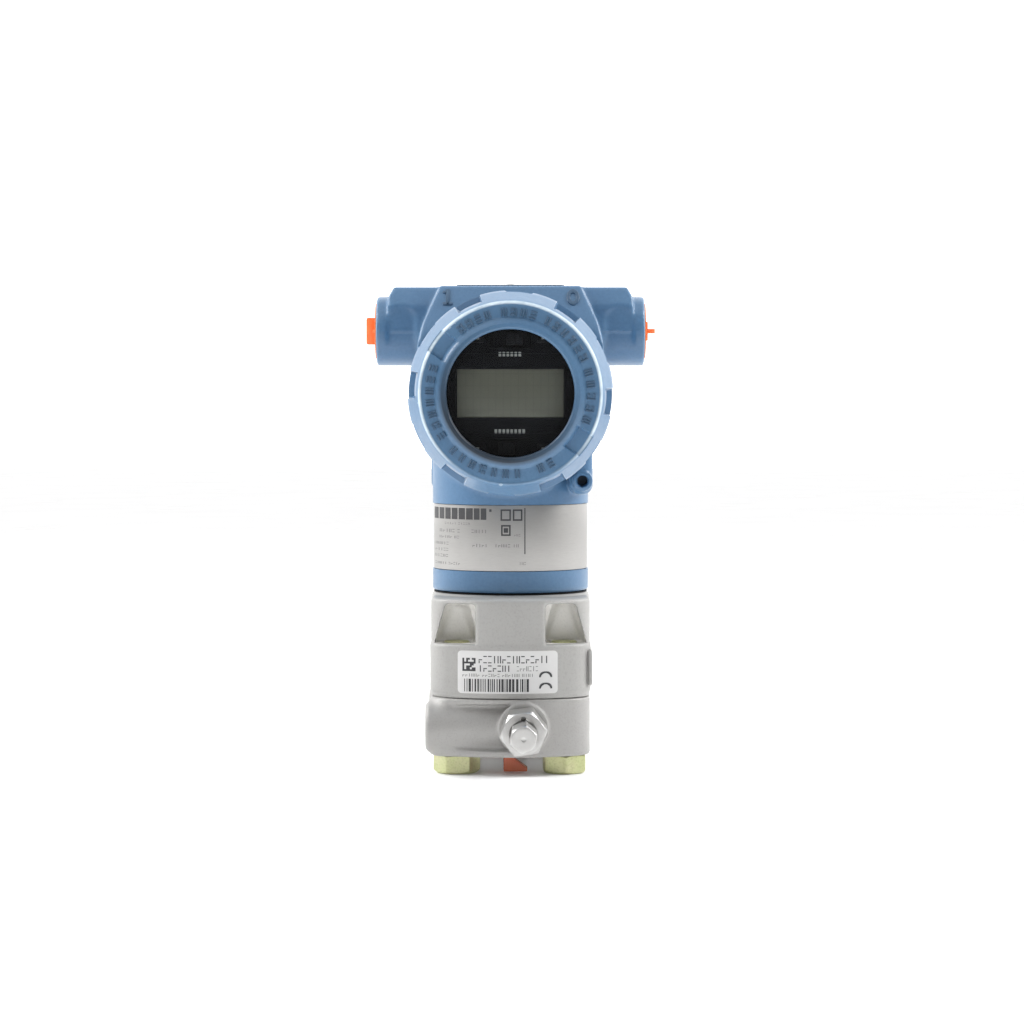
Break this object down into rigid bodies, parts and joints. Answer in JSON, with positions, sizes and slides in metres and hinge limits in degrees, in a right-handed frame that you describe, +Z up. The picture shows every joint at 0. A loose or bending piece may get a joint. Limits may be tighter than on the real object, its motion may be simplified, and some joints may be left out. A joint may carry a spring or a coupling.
{
  "type": "differential pressure transmitter",
  "caption": "Coplanar differential pressure transmitter with a round digital meter, two conduit entries, vent valves and a bolted process flange.",
  "frame": {"origin": "on the floor below the housing neck's axis, at the middle of the bolt heads' rest plane", "axes": "+Z up along the neck, -Y out of the meter window, X along the conduit entries"},
  "size_m": [0.113, 0.163, 0.1888],
  "materials": {
    "blue_paint": "semi-gloss polyurethane paint on cast aluminium",
    "module_steel": "matt blasted stainless casting",
    "cast_steel": "fine cast stainless, machined faces",
    "bright_steel": "bright turned stainless",
    "band_steel": "polished stainless foil with print",
    "cell_steel": "satin stainless",
    "yellow_zinc": "yellow zinc plated steel",
    "white_seal": "moulded ring",
    "board_green": "circuit board",
    "red_plastic": "moulded plastic",
    "orange_plastic": "moulded plastic",
    "white_label": "printed film",
    "black_rubber": "moulded rubber",
    "dark_screw": "blackened steel",
    "brass": "turned brass",
    "tin_can": "tinned sheet",
    "ribbon": "flat cable",
    "black_plastic": "moulded plastic",
    "display": "liquid crystal panel, unlit",
    "green_screw": "green marked screw",
    "window": "flat toughened glass",
    "dark_plate": "dark anodised plate",
    "blue_plastic": "moulded plastic"
  },
  "bodies": {
    "module": {"sensor_module_body": "module_steel", "sensor_capsule": "cell_steel", "isolating_diaphragms": "cell_steel", "fill_tubes": "cell_steel", "process_seal_rings": "white_seal", "module_board": "board_green", "coplanar_flange": "cast_steel", "flange_bolts": "yellow_zinc", "vent_seat_front": "bright_steel", "vent_seat_rear": "bright_steel", "process_plug_front": "red_plastic", "process_plug_rear": "red_plastic", "module_label": "white_label", "neck_seal": "black_rubber"},
    "housing": {"electronics_housing": "blue_paint", "nameplate_band": "band_steel", "rotation_set_screw": "dark_screw", "electronics_board": "board_green", "board_standoffs": "brass", "board_screws": "cell_steel", "shield_can": "tin_can", "ribbon_cable": "ribbon", "lcd_meter": "black_plastic", "lcd_glass": "display", "meter_jumpers": "black_plastic", "terminal_block": "black_plastic", "terminal_screws": "cell_steel", "inner_ground_screw": "green_screw", "label_screw": "cell_steel", "zero_spring": "black_rubber", "span_spring": "black_rubber", "conduit_plug_left": "orange_plastic", "conduit_plug_right": "orange_plastic"},
    "front_seal": {"front_oring": "black_rubber"},
    "front_cover": {"front_cover": "blue_paint", "window_gasket": "black_rubber", "window_glass": "window", "glass_retainer": "dark_screw"},
    "rear_seal": {"rear_oring": "black_rubber"},
    "rear_cover": {"rear_cover": "blue_paint"},
    "front_ball": {"vent_ball_front": "cell_steel"},
    "front_stem": {"vent_stem_front": "bright_steel"},
    "rear_ball": {"vent_ball_rear": "cell_steel"},
    "rear_stem": {"vent_stem_rear": "bright_steel"},
    "label_plate": {"top_label_plate": "dark_plate"},
    "zero": {"zero_button": "blue_plastic"},
    "span": {"span_button": "blue_plastic"}
  },
  "joints": [
    {"name": "housing_turn", "type": "hinge", "parent": "module", "child": "housing", "pos_m": [0, 0, 0.08], "axis": [0, 0, 1], "range_deg": [-180, 180]},
    {"name": "front_cover_advance", "type": "slide", "parent": "housing", "child": "front_seal", "axis": [0, -1, 0], "range_m": [0, 0.01121]},
    {"name": "front_cover_turn", "type": "hinge", "parent": "front_seal", "child": "front_cover", "pos_m": [0, -0.05, 0.1458], "axis": [0, -1, 0], "range_deg": [0, 2520]},
    {"name": "rear_cover_advance", "type": "slide", "parent": "housing", "child": "rear_seal", "axis": [0, 1, 0], "range_m": [0, 0.01121]},
    {"name": "rear_cover_turn", "type": "hinge", "parent": "rear_seal", "child": "rear_cover", "pos_m": [0, 0.045, 0.1458], "axis": [0, 1, 0], "range_deg": [0, 2520]},
    {"name": "front_vent_advance", "type": "slide", "parent": "module", "child": "front_ball", "axis": [0, -1, 0], "range_m": [0, 0.0019]},
    {"name": "front_vent_turn", "type": "hinge", "parent": "front_ball", "child": "front_stem", "pos_m": [0.0049, -0.055, 0.0184], "axis": [0, -1, 0], "range_deg": [0, 720]},
    {"name": "rear_vent_advance", "type": "slide", "parent": "module", "child": "rear_ball", "axis": [0, 1, 0], "range_m": [0, 0.0019]},
    {"name": "rear_vent_turn", "type": "hinge", "parent": "rear_ball", "child": "rear_stem", "pos_m": [0.0049, 0.055, 0.0184], "axis": [0, 1, 0], "range_deg": [0, 720]},
    {"name": "label_plate_swing", "type": "hinge", "parent": "housing", "child": "label_plate", "pos_m": [0, 0, 0.1878], "axis": [0, 0, 1], "range_deg": [0, 90]},
    {"name": "zero_press", "type": "slide", "parent": "housing", "child": "zero", "axis": [0, 0, -1], "range_m": [0, 0.0025], "stiffness_N_per_m": 300, "springref_m": -0.001, "deforming": ["zero_spring"]},
    {"name": "span_press", "type": "slide", "parent": "housing", "child": "span", "axis": [0, 0, -1], "range_m": [0, 0.0025], "stiffness_N_per_m": 300, "springref_m": -0.001, "deforming": ["span_spring"]}
  ],
  "couplings": [
    {"joint": "front_cover_advance", "follows": "front_cover_turn", "m_per_rad": 0.00025266},
    {"joint": "rear_cover_advance", "follows": "rear_cover_turn", "m_per_rad": 0.00025266},
    {"joint": "front_vent_advance", "follows": "front_vent_turn", "m_per_rad": 0.00014324},
    {"joint": "rear_vent_advance", "follows": "rear_vent_turn", "m_per_rad": 0.00014324}
  ]
}
